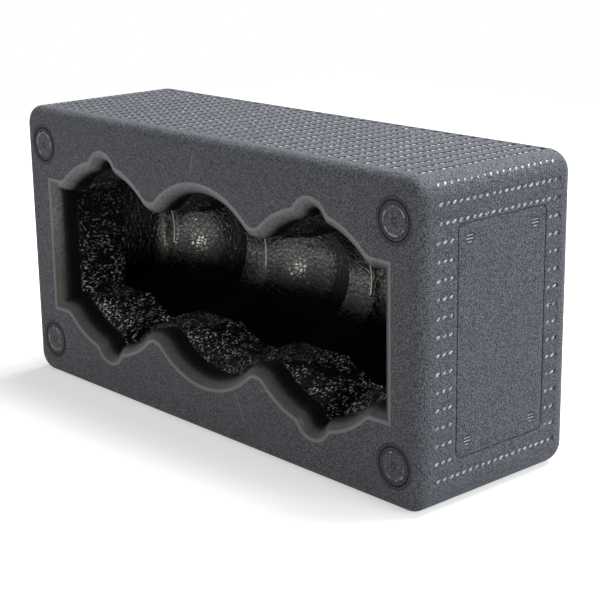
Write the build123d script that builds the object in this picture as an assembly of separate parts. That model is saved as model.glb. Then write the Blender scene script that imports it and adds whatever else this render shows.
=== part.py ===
from build123d import *
import os

# Yoga block: one moulding of bead foam with a lobed hollow in one broad side, and rows of grip grooves
# on its four narrow sides. X runs along the length, Y from the open side to the back, Z up.
# The block stands on one of its long narrow sides, with the origin under its middle.

os.makedirs("parts", exist_ok=True)

# Outer block
block_length = 300.0
block_depth = 100.0
block_height = 150.0
outline_round = 10.5        # the four edges that run from the open side to the back
front_round = 5.0           # edge around the open side
back_round = 10.5           # edge around the back

# Hollow: a trough along the block with three ball wells in a row
end_wall = 25.5             # from each end of the block to the hollow
trough_half_length = block_length / 2 - end_wall
trough_radius = 30.5
trough_floor = 70.0         # deepest line of the trough, below the open side
end_draft = 6.0             # how much each end wall leans in, from the collar to the deepest floor
well_spacing = 80.0
well_count = 3
well_mouth_radius = 45.8
well_radius = 40.0
well_floor = 86.0           # deepest point of each ball well
collar_depth = 14.0         # straight collar of the mouth, down to a fine ledge
collar_step = 0.5           # width of that ledge
well_taper_end = 26.0       # where the well has narrowed to its own radius
cusp_round = 12.0           # rounding of the points between trough and wells
lip_round = 6.0             # rounded lip around the whole mouth

# Finger notches above and below the outer wells, straight down to a bevelled floor
notch_radius = 6.5
notch_reach = 51.5          # from the middle line to the end of the notch
notch_floor = 42.0
notch_mouth_round = 8.0     # where a notch runs into its well
notch_floor_bevel = 2.5

# Round plug marks in the corners of the open side
plug_from_end = 17.0        # middle of each mark from the block's end
plug_from_side = 20.0       # and from its top or base
plug_radius = 9.6
plug_groove_width = 1.2
plug_groove_depth = 0.8

# Bare panel with four vents on one end
panel_width = 58.0
panel_height = 106.2
panel_corner = 3.5
panel_line_width = 0.8
panel_line_depth = 0.5
vent_radius = 3.0
vent_depth = 0.5
vent_across = 21.4
vent_up = 45.7

# Grip: rows of shallow grooves that run from front to back on the four narrow sides
grip_spacing = 8.2
grip_width = 2.6
grip_depth = 0.8
end_row_shift = 1.2         # how far the rows on the two ends sit above the middle
grip_front_border = 8.0     # plain border left at the open side
grip_back_border = 11.5     # plain border left at the back
grip_side_border = 9.0      # plain border left at the block's long edges
grip_panel_border = 1.8     # plain border left beside the panel

# Each side's plane points into the block, so that a cut is drawn below it
open_side = Plane(origin=(0, -block_depth / 2, block_height / 2), x_dir=(1, 0, 0), z_dir=(0, 1, 0))
end_side = Plane(origin=(block_length / 2, 0, block_height / 2), x_dir=(0, 1, 0), z_dir=(-1, 0, 0))
far_end_side = Plane(origin=(-block_length / 2, 0, block_height / 2), x_dir=(0, 1, 0), z_dir=(1, 0, 0))
top_side = Plane(origin=(0, 0, block_height), x_dir=(0, 1, 0), z_dir=(0, 0, -1))
base_side = Plane(origin=(0, 0, 0), x_dir=(0, 1, 0), z_dir=(0, 0, 1))
well_places = [(i - (well_count - 1) / 2) * well_spacing for i in range(well_count)]
notch_places = [well_places[0], well_places[-1]]


def outer_block():
    """The plain block with its rounded edges."""
    outline = open_side * RectangleRounded(block_length, block_height, outline_round)
    solid = extrude(outline, amount=block_depth)
    solid = fillet(solid.edges().group_by(Axis.Y)[0], front_round)
    return fillet(solid.edges().group_by(Axis.Y)[-1], back_round)


def notch_outline(margin=0.0):
    """Round-ended outline of the two notches of one well, above and below."""
    return SlotOverall(2 * (notch_reach + margin), 2 * (notch_radius + margin), rotation=90)


def collar():
    """Straight mouth of the hollow: trough, wells and notches, with their meetings rounded."""
    end, side = trough_half_length + collar_step, trough_radius + collar_step
    outline = Rectangle(2 * end, 2 * side)
    for x in well_places:
        outline += Pos(x, 0) * Circle(well_mouth_radius + collar_step)
    outline &= Rectangle(2 * end, block_height)
    cusps = [corner for corner in outline.vertices() if abs(corner.X) < end - collar_step]
    outline = fillet(cusps, cusp_round)
    for x in notch_places:
        outline += Pos(x, 0) * notch_outline(collar_step)
    # Growing and shrinking by the same amount rounds only the inward corners, where notches meet wells
    outline = offset(offset(outline, amount=notch_mouth_round), amount=-notch_mouth_round)
    return extrude(outline, amount=collar_depth)


def trough():
    """Straight side walls and a half-round floor, from end to end."""
    centre = trough_floor - trough_radius
    section = Pos(0, centre / 2) * Rectangle(2 * trough_radius, centre)
    section += Pos(0, centre) * Circle(trough_radius)
    below_collar = Pos(0, 0, collar_depth) * Box(2 * trough_half_length, 2 * trough_radius, trough_floor,
                                                 align=(Align.CENTER, Align.CENTER, Align.MIN))
    return extrude(Plane.YZ * section, amount=trough_half_length, both=True) & below_collar


def well():
    """One ball well: a funnel below the collar, a straight bore and a half-ball floor."""
    centre = well_floor - well_radius
    wall = Polyline((0, collar_depth), (well_mouth_radius, collar_depth),
                    (well_radius, well_taper_end), (well_radius, centre), (0, centre), close=True)
    half_disc = make_face(Line((-well_radius, 0), (well_radius, 0)) + CenterArc((0, 0), well_radius, 0, 180))
    half_ball = revolve(half_disc, Axis.X, 180)
    return revolve(Plane.XZ * make_face(wall), Axis.Z) + Pos(0, 0, centre) * half_ball


def notches():
    """The two notches of one well below the collar, with straight walls and a bevelled floor."""
    cut = extrude(notch_outline(), amount=notch_floor - collar_depth)
    return Pos(0, 0, collar_depth) * chamfer(cut.edges().group_by(Axis.Z)[-1], notch_floor_bevel)


def between_ends():
    """The space between the two end walls, which lean in below the collar."""
    end, low_end = trough_half_length, trough_half_length - end_draft
    side_view = make_face(Polyline((-end, 0), (end, 0), (end, collar_depth), (low_end, well_floor),
                                   (-low_end, well_floor), (-end, collar_depth), close=True))
    return extrude(Plane.XZ * side_view, amount=block_height / 2, both=True)


def hollow():
    """All of the hollow but its rounded lip, drawn below the open side."""
    core = trough()
    for x in well_places:
        core += Pos(x, 0, 0) * well()
    for x in notch_places:
        core += Pos(x, 0, 0) * notches()
    return collar() + (core & between_ends())


def plug_mark():
    """The round V groove of one plug mark."""
    middle = plug_radius - plug_groove_width / 2
    section = Polyline((plug_radius, 0), (middle, plug_groove_depth), (plug_radius - plug_groove_width, 0),
                       close=True)
    return revolve(Plane.XZ * make_face(section), Axis.Z)


def vent():
    """The shallow round dimple of one vent."""
    section = Polyline((0, 0), (vent_radius, 0), (0, vent_depth), close=True)
    return revolve(Plane.XZ * make_face(section), Axis.Z)


def panel():
    """The fine engraved border of the bare panel, with a vent in each corner."""
    border = RectangleRounded(panel_width, panel_height, panel_corner)
    border -= RectangleRounded(panel_width - 2 * panel_line_width, panel_height - 2 * panel_line_width,
                               panel_corner - panel_line_width)
    lines = extrude(border, amount=panel_line_depth)
    for place in GridLocations(2 * vent_across, 2 * vent_up, 2, 2):
        lines += place * vent()
    return lines


def grip_groove(start, end):
    """One V groove below a narrow side, from start to end along its local X."""
    section = Polyline((-grip_width / 2, 0), (grip_width / 2, 0), (0, grip_depth), close=True)
    return Pos(start, 0) * extrude(Plane.YZ * make_face(section), amount=end - start)


def grip_rows(side_length, shift=0.0, bare_width=0.0, bare_length=0.0):
    """The grooves of one narrow side of that length, broken where they would cross a bare field."""
    front, back = -block_depth / 2 + grip_front_border, block_depth / 2 - grip_back_border
    room = side_length - 2 * (grip_side_border + abs(shift)) - grip_width
    count = int(room / grip_spacing) + 1
    rows = []
    for i in range(count):
        along = shift + (i - (count - 1) / 2) * grip_spacing
        broken = abs(along) - grip_width / 2 < bare_length / 2
        spans = [(front, -bare_width / 2), (bare_width / 2, back)] if broken else [(front, back)]
        rows += [Pos(0, along) * grip_groove(start, end) for start, end in spans]
    return rows


foam_block = outer_block() - open_side * hollow()
mouth = foam_block.faces().sort_by(Axis.Y)[0].inner_wires()[0].edges()
foam_block = fillet(mouth, lip_round)
for place in GridLocations(block_length - 2 * plug_from_end, block_height - 2 * plug_from_side, 2, 2):
    foam_block -= open_side * place * plug_mark()
foam_block -= end_side * panel()
grip = [top_side * row for row in grip_rows(block_length)]
grip += [base_side * row for row in grip_rows(block_length)]
grip += [far_end_side * row for row in grip_rows(block_height, end_row_shift)]
# The panelled end's local Y points down, so its rows shift the other way
panel_field = panel_width + 2 * grip_panel_border
grip += [end_side * row for row in grip_rows(block_height, -end_row_shift, panel_field, panel_height)]
foam_block = foam_block - grip
export_step(foam_block, "parts/foam_block.step")
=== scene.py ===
import math

import bmesh
import bpy
import numpy as np
from mathutils import Matrix, Vector


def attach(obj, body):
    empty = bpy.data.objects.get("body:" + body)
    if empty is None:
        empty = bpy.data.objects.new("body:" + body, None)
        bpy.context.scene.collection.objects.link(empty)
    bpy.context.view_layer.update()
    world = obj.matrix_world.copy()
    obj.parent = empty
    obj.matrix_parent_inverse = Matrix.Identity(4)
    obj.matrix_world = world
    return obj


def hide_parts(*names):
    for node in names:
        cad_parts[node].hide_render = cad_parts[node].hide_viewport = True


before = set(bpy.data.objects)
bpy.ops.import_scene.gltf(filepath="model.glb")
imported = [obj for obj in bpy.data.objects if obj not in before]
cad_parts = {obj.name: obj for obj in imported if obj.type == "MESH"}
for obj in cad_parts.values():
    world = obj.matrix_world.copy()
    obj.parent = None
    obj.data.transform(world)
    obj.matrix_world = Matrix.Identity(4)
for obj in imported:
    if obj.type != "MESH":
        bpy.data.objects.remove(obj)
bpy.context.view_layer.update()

mm = 0.001

# The block: one moulding of charcoal bead foam, steamed together in a heated tool. Its outside is matt and
# finely grained, the lip of the hollow is smooth and pale, and the deep part has a dark, glossier skin.
block_length, block_depth, block_height = 300 * mm, 100 * mm, 150 * mm
front_face = -block_depth / 2
middle_height = block_height / 2
hollow_half_length, hollow_half_height = 137 * mm, 62 * mm
hollow_back = 40 * mm
ledge_depth, ledge_margin = 14 * mm, 0.05 * mm
well_skin_depth = 42 * mm
shaded_below = 53 * mm
groove_depth = 0.8 * mm
groove_front, groove_back = -42 * mm, 38.5 * mm
groove_margin = 0.1 * mm
last_groove = 140.8 * mm            # the grooves of the top and base end there, before the rounded edges
plug_across, plug_up = 133 * mm, 55 * mm
plug_groove_radius, plug_groove_reach = 9.0 * mm, 1 * mm
plug_inner_radius, plug_outer_radius, plug_dot_radius = 7.5 * mm, 10.4 * mm, 1.3 * mm
vent_across, vent_up, vent_radius = 21.4 * mm, 45.7 * mm, 3.0 * mm
vent_bar_spacing = 1.5 * mm
upper_flow_mark = (-5 * mm, 130 * mm, -3 * mm, 141 * mm)
lower_flow_mark = (25 * mm, 27 * mm, 31 * mm, 13 * mm)
merge_distance = 0.001 * mm
crease_angle = math.radians(24)
just_below = 0.02 * mm              # a face whose middle is this far under a side is no longer part of it


def merged_copy(node, name):
    """A copy of a CAD node whose loose triangles share their corners, so that it can be shaded smoothly."""
    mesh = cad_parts[node].data.copy()
    mesh.name = name
    work = bmesh.new()
    work.from_mesh(mesh)
    bmesh.ops.remove_doubles(work, verts=work.verts, dist=merge_distance)
    work.to_mesh(mesh)
    work.free()
    piece = bpy.data.objects.new(name, mesh)
    bpy.context.scene.collection.objects.link(piece)
    mesh.shade_smooth()
    mesh.set_sharp_from_angle(angle=crease_angle)
    return piece


def face_middles(mesh):
    """The middle of every face, as one array."""
    values = np.empty(len(mesh.polygons) * 3)
    mesh.polygons.foreach_get("center", values)
    return values.reshape(-1, 3)


class Finish:
    """One material, with short calls that add a node to it and link what they are given."""

    def __init__(self, name):
        self.material = bpy.data.materials.new(name)
        self.material.use_nodes = True
        self.tree = self.material.node_tree
        self.shader = self.tree.nodes["Principled BSDF"]
        self.place = self.tree.nodes.new("ShaderNodeTexCoord").outputs["Object"]

    def put(self, socket, value):
        """Gives a socket a plain value, or links another node's output to it."""
        if isinstance(value, bpy.types.NodeSocket):
            self.tree.links.new(value, socket)
        else:
            socket.default_value = value

    def noise(self, size, detail=2.0, roughness=0.5, place=None):
        """Cloudy noise whose spots are about that size, from 0 to 1."""
        node = self.tree.nodes.new("ShaderNodeTexNoise")
        node.inputs["Scale"].default_value = 1 / size
        node.inputs["Detail"].default_value = detail
        node.inputs["Roughness"].default_value = roughness
        self.put(node.inputs["Vector"], place or self.place)
        return node.outputs["Fac"]

    def cells(self, size, feature="F1"):
        """Distance within round cells of about that size."""
        node = self.tree.nodes.new("ShaderNodeTexVoronoi")
        node.feature = feature
        node.inputs["Scale"].default_value = 1 / size
        self.put(node.inputs["Vector"], self.place)
        return node.outputs["Distance"]

    def cell_tint(self, size):
        """One random value for each round cell of about that size."""
        node = self.tree.nodes.new("ShaderNodeTexVoronoi")
        node.inputs["Scale"].default_value = 1 / size
        self.put(node.inputs["Vector"], self.place)
        split = self.tree.nodes.new("ShaderNodeSeparateColor")
        self.put(split.inputs["Color"], node.outputs["Color"])
        return split.outputs["Red"]

    def math(self, operation, first, second=0.0):
        """One sum of two values or outputs."""
        node = self.tree.nodes.new("ShaderNodeMath")
        node.operation = operation
        self.put(node.inputs[0], first)
        self.put(node.inputs[1], second)
        return node.outputs["Value"]

    def minus(self, first, second):
        """The first less the second."""
        return self.math("SUBTRACT", first, second)

    def times(self, first, second):
        """The first times the second, which is where both are, for two masks."""
        return self.math("MULTIPLY", first, second)

    def either(self, first, second):
        """The larger of two, which is where one or the other is, for two masks."""
        return self.math("MAXIMUM", first, second)

    def ramp(self, value, low, high, to_low=0.0, to_high=1.0):
        """Value carried from low..high to to_low..to_high, softly, and held beyond them."""
        node = self.tree.nodes.new("ShaderNodeMapRange")
        node.interpolation_type = "SMOOTHSTEP"
        for socket, given in zip(node.inputs, (value, low, high, to_low, to_high)):
            self.put(socket, given)
        return node.outputs["Result"]

    def axis(self, name):
        """The place along X, Y or Z."""
        split = self.tree.nodes.new("ShaderNodeSeparateXYZ")
        self.put(split.inputs["Vector"], self.place)
        return split.outputs[name]

    def stretched(self, along_x, along_y, along_z):
        """The place with each axis scaled, for spots that are drawn out along a small one."""
        node = self.tree.nodes.new("ShaderNodeMapping")
        node.inputs["Scale"].default_value = (along_x, along_y, along_z)
        self.put(node.inputs["Vector"], self.place)
        return node.outputs["Vector"]

    def from_corners(self, across_axis, across, up):
        """Distance from the nearest of four points, at that far across and up from a side's middle:
        the root of (|across axis| - across) squared plus (|height from the middle| - up) squared."""
        sideways = self.minus(self.math("ABSOLUTE", self.axis(across_axis)), across)
        height = self.math("ABSOLUTE", self.minus(self.axis("Z"), middle_height))
        height = self.minus(height, up)
        squares = self.math("ADD", self.times(sideways, sideways), self.times(height, height))
        return self.math("SQRT", squares)

    def line(self, value, middle, half_width):
        """1 where the value is at the middle, falling to 0 at half the width on both sides."""
        off = self.math("ABSOLUTE", self.minus(value, middle))
        return self.ramp(off, 0.0, half_width, 1.0, 0.0)

    def hairline(self, x_low, z_low, x_high, z_high):
        """1 on a fine straight line of the open side between two points, falling to 0 beside it."""
        half_width, fading = 0.7 * mm, 0.1
        lean = (x_high - x_low) / (z_high - z_low)
        along = self.minus(self.axis("Z"), z_low)
        sideways = self.minus(self.axis("X"), self.times(along, lean))
        share = self.math("DIVIDE", along, z_high - z_low)
        held = self.times(self.ramp(share, 0.0, fading), self.ramp(share, 1.0 - fading, 1.0, 1.0, 0.0))
        return self.times(self.line(sideways, x_low, half_width), held)

    def mix(self, share, first, second):
        """A colour between the first and the second."""
        node = self.tree.nodes.new("ShaderNodeMix")
        node.data_type = "RGBA"
        self.put(node.inputs["Factor"], share)
        self.put(node.inputs["A"], first)
        self.put(node.inputs["B"], second)
        return node.outputs["Result"]

    def bump(self, height, depth, below=None):
        """Relief of that depth, laid over another relief."""
        node = self.tree.nodes.new("ShaderNodeBump")
        node.inputs["Distance"].default_value = depth
        self.put(node.inputs["Height"], height)
        if below is not None:
            self.put(node.inputs["Normal"], below)
        return node.outputs["Normal"]

    def done(self, colour, roughness, normal, specular):
        """Sets the shader and returns the material."""
        self.put(self.shader.inputs["Base Color"], colour)
        self.put(self.shader.inputs["Roughness"], roughness)
        self.put(self.shader.inputs["Normal"], normal)
        self.put(self.shader.inputs["Specular IOR Level"], specular)
        return self.material


def grained_foam():
    """The matt outside: charcoal with pale and dark grains under a millimetre across. The fine rings and
    the dot of each plug mark, sunk and with painted shade in them, the painted glints beside them, and
    the slots of each vent, go by the distance from the mark's middle."""
    grain_size, cloud_size, glint_size = 0.66 * mm, 22 * mm, 3.5 * mm
    bead_size, pit_size = 3.2 * mm, 0.9 * mm
    grain_dark, grain_pale = (0.006, 0.007, 0.009, 1), (0.160, 0.171, 0.203, 1)
    cloud_colour = (0.060, 0.064, 0.075, 1)
    painted_ring_shade, painted_ring_glint = (0.008, 0.008, 0.010, 1), (0.48, 0.49, 0.52, 1)
    vent_dark, vent_bar = (0.012, 0.013, 0.015, 1), (0.40, 0.42, 0.47, 1)
    flow_pale = (0.30, 0.31, 0.33, 1)
    ring_half, glint_half, dot_half, vent_half = 0.9 * mm, 0.7 * mm, 0.8 * mm, 0.6 * mm
    end_face = block_length / 2

    n = Finish("grained_foam")
    grain = n.ramp(n.noise(grain_size, 2, 0.8), 0.45, 0.56)
    cloud = n.ramp(n.noise(cloud_size, 2), 0.3, 0.7)
    colour = n.mix(grain, grain_dark, grain_pale)
    colour = n.mix(n.times(cloud, 0.2), colour, cloud_colour)

    on_front = n.math("LESS_THAN", n.axis("Y"), front_face + 1 * mm)
    from_plug = n.from_corners("X", plug_across, plug_up)
    # Painted shade: the plug mark's fine sunk rings and its dot are coloured dark.
    plug_rings = n.either(n.line(from_plug, plug_inner_radius, ring_half),
                          n.line(from_plug, plug_outer_radius, ring_half))
    plug_lines = n.either(plug_rings, n.line(from_plug, plug_dot_radius, ring_half))
    plug_lines = n.times(on_front, plug_lines)
    # Painted highlight: pale glints on a ring just inside the inner ring and on the dot, broken by noise.
    painted_plug_glint = n.either(n.line(from_plug, plug_inner_radius - 1.1 * mm, glint_half),
                        n.line(from_plug, 0.0, dot_half))
    glints = n.ramp(n.noise(glint_size, 1), 0.50, 0.62)
    painted_plug_glint = n.times(on_front, n.times(painted_plug_glint, glints))

    on_end = n.ramp(n.axis("X"), end_face - 1 * mm, end_face - 0.6 * mm)
    from_vent = n.from_corners("Y", vent_across, vent_up)
    vent_ring = n.times(on_end, n.line(from_vent, vent_radius - 0.5 * mm, vent_half))
    in_vent = n.ramp(from_vent, vent_radius - 0.9 * mm, vent_radius - 0.6 * mm, 1.0, 0.0)
    in_vent = n.times(on_end, in_vent)
    slots = n.math("SINE", n.times(n.axis("Z"), 2 * math.pi / vent_bar_spacing))
    bars = n.times(in_vent, n.ramp(slots, -0.3, 0.5))

    # The plug mark's painted shade, then its painted glints.
    colour = n.mix(plug_lines, colour, painted_ring_shade)
    colour = n.mix(painted_plug_glint, colour, painted_ring_glint)
    colour = n.mix(n.either(vent_ring, in_vent), colour, vent_dark)
    colour = n.mix(bars, colour, vent_bar)
    flow_marks = n.times(n.either(n.hairline(*upper_flow_mark), n.hairline(*lower_flow_mark)), on_front)
    colour = n.mix(n.times(flow_marks, 0.6), colour, flow_pale)

    relief = n.bump(n.cells(bead_size, "SMOOTH_F1"), 0.15 * mm)
    relief = n.bump(n.noise(pit_size, 3, 0.75), 0.55 * mm, relief)
    relief = n.bump(n.minus(bars, plug_lines), 0.3 * mm, relief)
    return n.done(colour, 0.62, relief, 0.3)


def groove_painted_shade():
    """The foam inside the plug marks' grooves and the grip grooves of the top and base, dark as painted
    shade.
    """
    grain_size, dark, pale = 0.9 * mm, (0.003, 0.003, 0.004, 1), (0.018, 0.019, 0.022, 1)
    n = Finish("groove_painted_shade")
    grain = n.ramp(n.noise(grain_size, 2, 0.6), 0.35, 0.65)
    relief = n.bump(n.noise(grain_size, 2), 0.25 * mm)
    return n.done(n.mix(grain, dark, pale), 0.7, relief, 0.2)


def lip_foam():
    """The smooth rounded lip, with a painted highlight in a fine line where it leaves the front, darker
    and pitted further in, with painted shade along its lower half and at the end turned away from the light."""
    pale_low, pale_high = (0.070, 0.073, 0.079, 1), (0.180, 0.187, 0.202, 1)
    inner_low, inner_high = (0.010, 0.010, 0.009, 1), (0.035, 0.035, 0.031, 1)
    pit_and_shade_colour, lip_low_shade_colour = (0.006, 0.006, 0.006, 1), (0.022, 0.022, 0.017, 1)
    painted_rim_highlight_colour, deep_colour = (0.24, 0.25, 0.27, 1), (0.003, 0.003, 0.003, 1)

    n = Finish("lip_foam")
    depth = n.minus(n.axis("Y"), front_face)
    cloud = n.ramp(n.noise(1.6 * mm, 3, 0.6), 0.3, 0.7)
    pits = n.ramp(n.noise(0.9 * mm, 1), 0.66, 0.72)
    # Painted shade: the lower half of the lip is darkened towards a dull olive.
    painted_low_shade = n.ramp(n.axis("Z"), 55 * mm, 95 * mm, 0.82, 0.0)
    # Painted shade: the end turned away from the light is darkened, with the pits' colour.
    painted_end_shade = n.ramp(n.axis("X"), 117 * mm, 122 * mm, 0.0, 0.8)
    # Painted highlight: a pale fine line where the lip leaves the front.
    painted_rim_highlight = n.times(n.ramp(depth, 0.03 * mm, 0.45 * mm, 1.0, 0.0), 0.75)

    outer = n.mix(cloud, pale_low, pale_high)
    outer = n.mix(pits, outer, pit_and_shade_colour)
    outer = n.mix(painted_low_shade, outer, lip_low_shade_colour)
    outer = n.mix(painted_end_shade, outer, pit_and_shade_colour)
    outer = n.mix(painted_rim_highlight, outer, painted_rim_highlight_colour)
    inner = n.mix(cloud, inner_low, inner_high)
    colour = n.mix(n.ramp(depth, 3.0 * mm, 5.8 * mm), outer, inner)
    colour = n.mix(n.ramp(depth, 6.0 * mm, 8.5 * mm), colour, deep_colour)
    relief = n.bump(n.noise(1.1 * mm, 2, 0.6), 0.22 * mm)
    return n.done(colour, 0.42, relief, 0.32)


def wall_skin():
    """The black walls of the hollow, drawn into fine streaks by the mould, with pale painted glints on the
    crests, strongest on the lower walls, which face the light."""
    streak_size, patch_size, bead_size = 0.95 * mm, 7 * mm, 2.4 * mm
    skin_colour, painted_glint_colour = (0.0012, 0.0012, 0.0014, 1), (0.85, 0.87, 0.92, 1)

    n = Finish("wall_skin")
    drawn = n.noise(streak_size, 2, 0.6, n.stretched(1.0, 0.45, 1.0))
    patches = n.ramp(n.noise(patch_size, 2), 0.36, 0.56)
    # Painted highlight: pale glints on the crests, fading towards the top of the hollow.
    painted_crest_glints = n.times(n.ramp(drawn, 0.565, 0.605), patches)
    painted_crest_glints = n.times(painted_crest_glints, n.ramp(n.axis("Z"), 45 * mm, 105 * mm, 1.0, 0.22))
    beads = n.bump(n.ramp(n.cells(bead_size, "DISTANCE_TO_EDGE"), 0.0, 0.3), 0.25 * mm)
    relief = n.bump(drawn, 0.45 * mm, beads)
    roughness = n.ramp(painted_crest_glints, 0.0, 1.0, 0.5, 0.2)
    return n.done(n.mix(painted_crest_glints, skin_colour, painted_glint_colour), roughness, relief, 0.16)


def well_skin():
    """The olive-black floor of the hollow: flattened beads like a honeycomb, each glossy and a little
    domed. The polish fades downwards, and painted shade darkens the colour downwards, into the matt
    black of the lowest part."""
    bead_size, seam_share = 2.6 * mm, 0.10
    bead_dark, bead_olive = (0.0008, 0.0008, 0.0006, 1), (0.016, 0.0155, 0.011, 1)
    well_shade_colour = (0.0005, 0.0005, 0.0005, 1)

    n = Finish("well_skin")
    bead_tint = n.cell_tint(bead_size)
    height = n.axis("Z")
    colour = n.mix(n.ramp(bead_tint, 0.45, 1.0), bead_dark, bead_olive)
    # Painted shade: the colour darkens towards the bottom of the wells.
    colour = n.mix(n.ramp(height, 52 * mm, 70 * mm, 1.0, 0.0), colour, well_shade_colour)
    seams = n.bump(n.ramp(n.cells(bead_size, "DISTANCE_TO_EDGE"), 0.0, seam_share), 0.16 * mm)
    domes = n.bump(n.cells(bead_size), 0.16 * mm, seams)
    roughness = n.ramp(bead_tint, 0.2, 0.9, 0.29, 0.16)
    polish = n.ramp(height, shaded_below, 78 * mm, 0.03, 0.9)
    return n.done(colour, roughness, domes, polish)


def shaded_skin():
    """The lowest part of the wells, matt black with almost no gloss, laid there as painted shade."""
    n = Finish("shaded_skin")
    return n.done((0.0008, 0.0008, 0.0008, 1), 0.6, n.bump(n.noise(1.2 * mm, 2), 0.2 * mm), 0.03)


block = merged_copy("foam_block", "block")
x, y, z = face_middles(block.data).T
depth = y - front_face
off_middle = np.abs(z - middle_height)
in_hollow = (np.abs(x) < hollow_half_length) & (off_middle < hollow_half_height)
in_hollow &= (y < hollow_back) & (depth > just_below)
from_plug = np.hypot(np.abs(x) - plug_across, off_middle - plug_up)
in_groove = (depth > just_below) & (depth < plug_groove_reach)
in_groove &= np.abs(from_plug - plug_groove_radius) < plug_groove_reach
under_side = middle_height - off_middle
along_rows = (y > groove_front - groove_margin) & (y < groove_back + groove_margin)
along_rows &= np.abs(x) < last_groove
in_groove |= along_rows & (under_side > just_below) & (under_side < groove_depth + groove_margin)
on_lip = depth < ledge_depth - ledge_margin
on_wall = depth < well_skin_depth
finishes = [grained_foam(), lip_foam(), wall_skin(), well_skin(), groove_painted_shade(), shaded_skin()]
outside, lip, wall, well_floor, groove, shade = range(len(finishes))
finish_index = np.select([in_groove, ~in_hollow, on_lip, on_wall, z < shaded_below],
                         [groove, outside, lip, wall, shade], well_floor)
block.data.materials.clear()
for material in finishes:
    block.data.materials.append(material)
block.data.polygons.foreach_set("material_index", finish_index.astype(np.int32))
even = block.modifiers.new("even_shading", "WEIGHTED_NORMAL")
even.keep_sharp = True
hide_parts("foam_block")
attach(block, "root")

# The creases: the fine raised edges that the mould leaves where each ball well breaks through the wall of
# the trough. They are part of the same moulding, smoother than the skin around them, and coloured pale as a
# painted highlight.
trough_radius, trough_centre = 30.5 * mm, 39.5 * mm
well_radius, well_centre, well_spacing = 40 * mm, 46 * mm, 80 * mm
crease_radius, crease_sunk = 0.5 * mm, 0.2 * mm
crease_steps, crease_around = 24, 8
crease_low, crease_high = math.radians(-14), math.radians(42)


def crease_line(well):
    """Where a ball well meets the trough: z = r sin t and d = c + r cos t on the trough, and x from the
    ball, as the root of its radius squared less z squared less (d - its centre's depth) squared."""
    turn = np.linspace(crease_low, crease_high, crease_steps)
    up = trough_radius * np.sin(turn)
    deep = trough_centre + trough_radius * np.cos(turn)
    out = np.sqrt(well_radius ** 2 - up ** 2 - (deep - well_centre) ** 2)
    inward = np.stack([np.zeros(crease_steps), -np.cos(turn), -np.sin(turn)], 1)
    line = np.stack([well - out, front_face + deep, middle_height + up], 1)
    return line - inward * crease_sunk


def tube(line, radius, around):
    """Points and faces of a round tube along a line, open at its ends: each point is the line's, plus the
    radius times (cos t of one direction square to the line, and sin t of the other)."""
    ahead = np.gradient(line, axis=0)
    ahead /= np.linalg.norm(ahead, axis=1)[:, None]
    first = np.cross(ahead, [1.0, 0.0, 0.0])
    first /= np.linalg.norm(first, axis=1)[:, None]
    second = np.cross(ahead, first)
    turn = (np.arange(around) * 2 * math.pi / around)[None, :, None]
    ring = np.cos(turn) * first[:, None, :] + np.sin(turn) * second[:, None, :]
    points = (line[:, None, :] + radius * ring).reshape(-1, 3)
    step, place = np.meshgrid(np.arange(len(line) - 1), np.arange(around), indexing="ij")
    after = (place + 1) % around
    near, far = step * around, (step + 1) * around
    faces = np.stack([near + place, near + after, far + after, far + place], -1).reshape(-1, 4)
    return points, faces


def joined(name, pieces):
    """One smooth mesh of several pieces, each given as points and faces."""
    starts = np.cumsum([0] + [len(points) for points, faces in pieces])
    all_points = np.concatenate([points for points, faces in pieces])
    all_faces = np.concatenate([faces + start for (points, faces), start in zip(pieces, starts)])
    mesh = bpy.data.meshes.new(name)
    mesh.from_pydata(all_points, [], all_faces.tolist())
    mesh.shade_smooth()
    piece = bpy.data.objects.new(name, mesh)
    bpy.context.scene.collection.objects.link(piece)
    return piece


def crease_highlight_skin():
    """The smooth, glossy crest of a crease, coloured pale as a painted highlight."""
    n = Finish("crease_highlight_skin")
    return n.done((0.55, 0.55, 0.50, 1), 0.28, n.bump(n.noise(1.5 * mm, 2), 0.08 * mm), 0.8)


wells = (-well_spacing, 0.0, well_spacing)
creases = joined("creases", [tube(crease_line(well), crease_radius, crease_around) for well in wells])
creases.data.materials.append(crease_highlight_skin())
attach(creases, "root")

# The grip studs: small domes of the same moulding, in a row along the bottom of every grip groove of the
# four narrow sides, with their tops level with the side. One more row on each rounded top edge has no
# groove and stands a little proud.
groove_spacing = 8.2 * mm
end_row_shift = 1.2 * mm
top_rows, end_rows = 35, 16
panel_half_width, panel_half_height = 29.2 * mm, 53.1 * mm
panel_border = 1.6 * mm
stud_spacing = 4.1 * mm
studs_each_way, studs_beside_panel = 12, 4      # more than fit, as those outside the grooves are left out
stud_half_length, stud_half_width = 1.75 * mm, 0.95 * mm
stud_half_reach = 1.25 * mm
stud_top_gap = 0.02 * mm
stud_least, stud_most = (0.8, 0.8, 0.9), (1.1, 1.1, 1.0)
stud_lean = math.radians(42)
stud_around, stud_rings = 8, 3
edge_round, edge_stud_sunk = 10.5 * mm, 0.6 * mm


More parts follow.
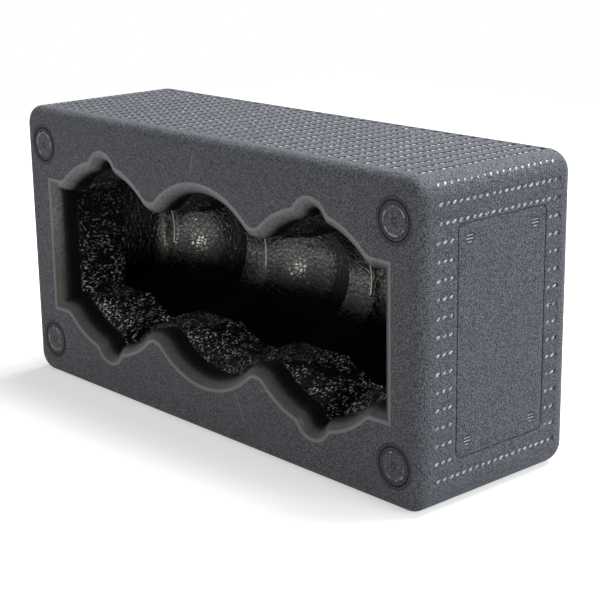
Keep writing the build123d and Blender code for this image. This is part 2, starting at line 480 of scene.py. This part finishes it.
def dome(around, rings):
    """Half a ball of radius 1 on its base circle, as points and faces, closed by one point on top. The
    points are (cos t cos a, sin t cos a, sin a), with t once around and a from 0 up to a right angle."""
    turn = np.tile(np.arange(around) * 2 * math.pi / around, rings)
    lift = np.repeat(np.arange(rings) * math.pi / 2 / rings, around)
    circles = np.stack([np.cos(turn) * np.cos(lift), np.sin(turn) * np.cos(lift), np.sin(lift)], 1)
    step = np.arange(around)
    here = (np.arange(rings)[:, None] * around + step).ravel()
    after = (np.arange(rings)[:, None] * around + (step + 1) % around).ravel()
    side = slice(0, (rings - 1) * around)
    cap = slice((rings - 1) * around, None)
    faces = [np.stack([here[side], after[side], after[side] + around], 1),
             np.stack([here[side], after[side] + around, here[side] + around], 1),
             np.stack([here[cap], after[cap], np.full(around, rings * around)], 1)]
    return np.concatenate([circles, [[0.0, 0.0, 1.0]]]), np.concatenate(faces)


def scattered(name, shape, places, sizes, along, across, outwards):
    """One mesh of many copies of a shape, each at its place, stretched along three directions."""
    points, faces = shape
    axes = np.stack([along, across, outwards], 1)
    copies = places[:, None, :] + np.einsum("npk,nkd->npd", points[None, :, :] * sizes[:, None, :], axes)
    return joined(name, [(copy, faces) for copy in copies])


def stud_places(row_places, broken):
    """Where the studs of one side stand: (along the row, across the rows), each row from front to back.
    Where the panel breaks a row, it starts anew on both sides of the panel."""
    whole = (np.arange(-studs_each_way, studs_each_way) + 0.5) * stud_spacing
    first_beside = panel_half_width + panel_border + stud_half_reach
    beside = first_beside + np.arange(studs_beside_panel) * stud_spacing
    places = []
    for row in row_places:
        along = np.concatenate([-beside, beside]) if broken and abs(row) < panel_half_height else whole
        inside = (along > groove_front + stud_half_reach) & (along < groove_back - stud_half_reach)
        places += [(place, row) for place in along[inside]]
    return np.array(places).T


def directions(out, count, lean):
    """Along, across and outwards for that many studs of one side. The first two are the row's direction and
    the one square to it, turned by the lean: cos of the one with sin of the other."""
    outwards = np.tile(np.array(out, float), (count, 1))
    row = np.tile([0.0, 1.0, 0.0], (count, 1))
    square = np.cross(outwards, row)
    along = math.cos(lean) * row + math.sin(lean) * square
    across = math.cos(lean) * square - math.sin(lean) * row
    return along, across, outwards


def on_side(along, row, out, level, lean):
    """Feet and directions of the studs of one side, whose face looks out and lies at that level."""
    foot = np.full(len(along), level - groove_depth * (out[0] + out[2]))
    columns = [row, along, foot] if out[2] else [foot, along, row + middle_height]
    return np.stack(columns, 1), *directions(out, len(along), lean)


def on_round_edge(along, out_x):
    """Feet and directions of the row of studs on a rounded top edge, one row above the end's last. The edge
    leans by the angle whose sine is the row's height above the edge's centre over its radius."""
    height = end_lines[-1] + groove_spacing - (middle_height - edge_round)
    lean = math.asin(height / edge_round)
    out = np.array([out_x * math.cos(lean), 0.0, math.sin(lean)])
    centre = np.array([out_x * (block_length / 2 - edge_round), 0.0, block_height - edge_round])
    places = centre + out * (edge_round - edge_stud_sunk) + np.outer(along, [0.0, 1.0, 0.0])
    return places, *directions(out, len(along), out_x * stud_lean)


top_lines = (np.arange(top_rows) - (top_rows - 1) / 2) * groove_spacing
end_lines = (np.arange(end_rows) - (end_rows - 1) / 2) * groove_spacing + end_row_shift
full_row = stud_places([0.0], False)[0]
long_sides = [on_side(*stud_places(top_lines, False), (0, 0, 1), block_height, -stud_lean),
              on_side(*stud_places(top_lines, False), (0, 0, -1), 0.0, stud_lean),
              on_round_edge(full_row, 1), on_round_edge(full_row, -1)]
short_sides = [on_side(*stud_places(end_lines, True), (1, 0, 0), block_length / 2, stud_lean),
               on_side(*stud_places(end_lines, False), (-1, 0, 0), -block_length / 2, -stud_lean)]
random = np.random.default_rng(4)


def studs(name, sides, material):
    """All studs of some sides as one piece, each a little different in size."""
    places, along, across, outwards = (np.concatenate(part) for part in zip(*sides))
    sizes = np.array([stud_half_length, stud_half_width, groove_depth - stud_top_gap])
    sizes = sizes * random.uniform(stud_least, stud_most, (len(places), 3))
    piece = scattered(name, dome(stud_around, stud_rings), places, sizes, along, across, outwards)
    piece.data.materials.append(material)
    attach(piece, "root")


def glinting_stud_paint(name, dark, pale):
    """The studs' skin: the same charcoal with pale painted glints, and smoother than the side around it."""
    n = Finish(name)
    colour = n.mix(n.ramp(n.noise(1.0 * mm, 2), 0.35, 0.65), dark, pale)
    return n.done(colour, 0.42, n.bump(n.noise(0.8 * mm, 2), 0.12 * mm), 0.5)


# Painted glints on the studs; the copy for the top and base is a little darker, as painted shade.
long_side_stud_glints = glinting_stud_paint("long_side_stud_glints", (0.10, 0.106, 0.122, 1), (0.70, 0.73, 0.80, 1))
studs("long_side_studs", long_sides, long_side_stud_glints)
end_stud_glints = glinting_stud_paint("end_stud_glints", (0.14, 0.15, 0.172, 1), (0.68, 0.71, 0.78, 1))
studs("end_studs", short_sides, end_stud_glints)

# The room: a pale floor under the block, soft light from above, from the front and from the right, and the
# camera at the photograph's angle. The background is white for the camera and for reflections only.
floor_size = 1.9
floor_glow = 0.5
floor_in_room, floor_seen = (0.22, 0.22, 0.22, 1), (0.92, 0.92, 0.92, 1)
world_strength = 0.10
camera_azimuth, camera_elevation, camera_roll = (math.radians(a) for a in (48.34, 15.74, -0.90))
camera_distance = 796.72 * mm
aim_right, aim_up = 11.26 * mm, -15.43 * mm
photo_side, photo_focal = 600, 1564.74
sensor_width = 36
nearest_seen = 0.01


def seen_directly(tree):
    """1 for what the camera sees straight, in a reflection or through glass, 0 for light on the block."""
    path = tree.nodes.new("ShaderNodeLightPath")
    first = tree.nodes.new("ShaderNodeMath")
    second = tree.nodes.new("ShaderNodeMath")
    first.operation = second.operation = "MAXIMUM"
    tree.links.new(path.outputs["Is Camera Ray"], first.inputs[0])
    tree.links.new(path.outputs["Is Glossy Ray"], first.inputs[1])
    tree.links.new(first.outputs["Value"], second.inputs[0])
    tree.links.new(path.outputs["Is Transmission Ray"], second.inputs[1])
    return second.outputs["Value"]


world = bpy.data.worlds.new("studio")
bpy.context.scene.world = world
world.use_nodes = True
sky = world.node_tree
plain = sky.nodes["Background"]
plain.inputs["Color"].default_value = (1, 1, 1, 1)
plain.inputs["Strength"].default_value = world_strength
white = sky.nodes.new("ShaderNodeBackground")
white.inputs["Color"].default_value = (1, 1, 1, 1)
choose = sky.nodes.new("ShaderNodeMixShader")
sky.links.new(seen_directly(sky), choose.inputs["Fac"])
sky.links.new(plain.outputs["Background"], choose.inputs[1])
sky.links.new(white.outputs["Background"], choose.inputs[2])
sky.links.new(choose.outputs["Shader"], sky.nodes["World Output"].inputs["Surface"])

floor_mesh = bpy.data.meshes.new("floor")
half = floor_size / 2
floor_corners = [(-half, -half, 0), (half, -half, 0), (half, half, 0), (-half, half, 0)]
floor_mesh.from_pydata(floor_corners, [], [(0, 1, 2, 3)])
floor = bpy.data.objects.new("floor", floor_mesh)
bpy.context.scene.collection.objects.link(floor)
paint = Finish("floor_paint")
floor_colour = paint.mix(seen_directly(paint.tree), floor_in_room, floor_seen)
paint.put(paint.shader.inputs["Base Color"], floor_colour)
paint.put(paint.shader.inputs["Emission Color"], (1, 1, 1, 1))
paint.put(paint.shader.inputs["Emission Strength"], paint.times(seen_directly(paint.tree), floor_glow))
paint.put(paint.shader.inputs["Roughness"], 0.9)
paint.put(paint.shader.inputs["Specular IOR Level"], 0.0)
floor_mesh.materials.append(paint.material)


def soft_light(name, direction, distance, size, power, colour):
    """A square lamp that far away in that direction, turned to the middle of the block."""
    lamp = bpy.data.lights.new(name, "AREA")
    lamp.color = colour
    lamp.size = size
    lamp.energy = power
    piece = bpy.data.objects.new(name, lamp)
    bpy.context.scene.collection.objects.link(piece)
    toward = Vector(direction).normalized()
    piece.location = Vector((0, 0, middle_height)) + toward * distance
    piece.rotation_euler = toward.to_track_quat("Z", "Y").to_euler()


soft_light("top_light", direction=(0.15, 0.5, 1.0), distance=1.6, size=1.1, power=42,
           colour=(0.97, 0.985, 1.0))
soft_light("front_light", direction=(0.16, -0.97, 0.12), distance=1.5, size=0.32, power=6.0,
           colour=(1.0, 0.97, 0.84))
soft_light("right_light", direction=(0.95, 0.1, 0.35), distance=1.6, size=0.9, power=14,
           colour=(0.93, 0.97, 1.0))

back = Vector((math.sin(camera_azimuth) * math.cos(camera_elevation),
               -math.cos(camera_azimuth) * math.cos(camera_elevation), math.sin(camera_elevation)))
level_right = Vector((math.cos(camera_azimuth), math.sin(camera_azimuth), 0))
level_up = back.cross(level_right)
right = math.cos(camera_roll) * level_right + math.sin(camera_roll) * level_up
up = back.cross(right)
camera_data = bpy.data.cameras.new("camera")
camera_data.sensor_width = sensor_width
camera_data.lens = sensor_width * photo_focal / photo_side
camera_data.clip_start = nearest_seen
camera = bpy.data.objects.new("camera", camera_data)
bpy.context.scene.collection.objects.link(camera)
aim = Vector((0, 0, middle_height)) + level_right * aim_right + level_up * aim_up
turned = Matrix((right, up, back)).transposed().to_4x4()
camera.matrix_world = Matrix.Translation(aim + back * camera_distance) @ turned
bpy.context.scene.camera = camera
bpy.context.scene.view_settings.view_transform = "Standard"
